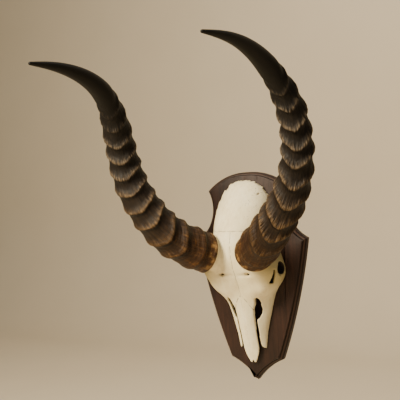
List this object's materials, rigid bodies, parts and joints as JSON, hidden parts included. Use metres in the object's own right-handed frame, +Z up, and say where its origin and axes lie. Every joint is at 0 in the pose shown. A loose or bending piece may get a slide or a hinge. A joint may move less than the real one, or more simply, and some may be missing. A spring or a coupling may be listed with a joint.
{
  "type": "mounted waterbuck skull trophy",
  "caption": "Sawn antelope skull with forward-curving ringed horns on a shield-shaped wooden backboard, hung flat on a wall by a keyhole plate.",
  "frame": {"origin": "centre of the shield's back face, at half the shield's height, on the wall plane", "axes": "+Z up, +Y into the wall, so the trophy looks towards -Y, +X towards the viewer's right"},
  "size_m": [0.4011, 0.4266, 0.5894],
  "materials": {
    "stained_wood": "dark reddish-brown stain, semi-satin",
    "bleached_bone": "bleached matt bone",
    "horn": "ridged horn, black tips and orange-brown bases",
    "brass_plate": "plain brass",
    "screw_steel": "zinc-grey steel"
  },
  "bodies": {
    "root": {"shield": "stained_wood", "skull": "bleached_bone", "horn_left": "horn", "horn_right": "horn", "hanger_plate": "brass_plate", "hanger_screw_lower": "brass_plate", "hanger_screw_upper": "brass_plate", "skull_screw_lower": "screw_steel", "skull_screw_upper": "screw_steel"}
  },
  "joints": []
}
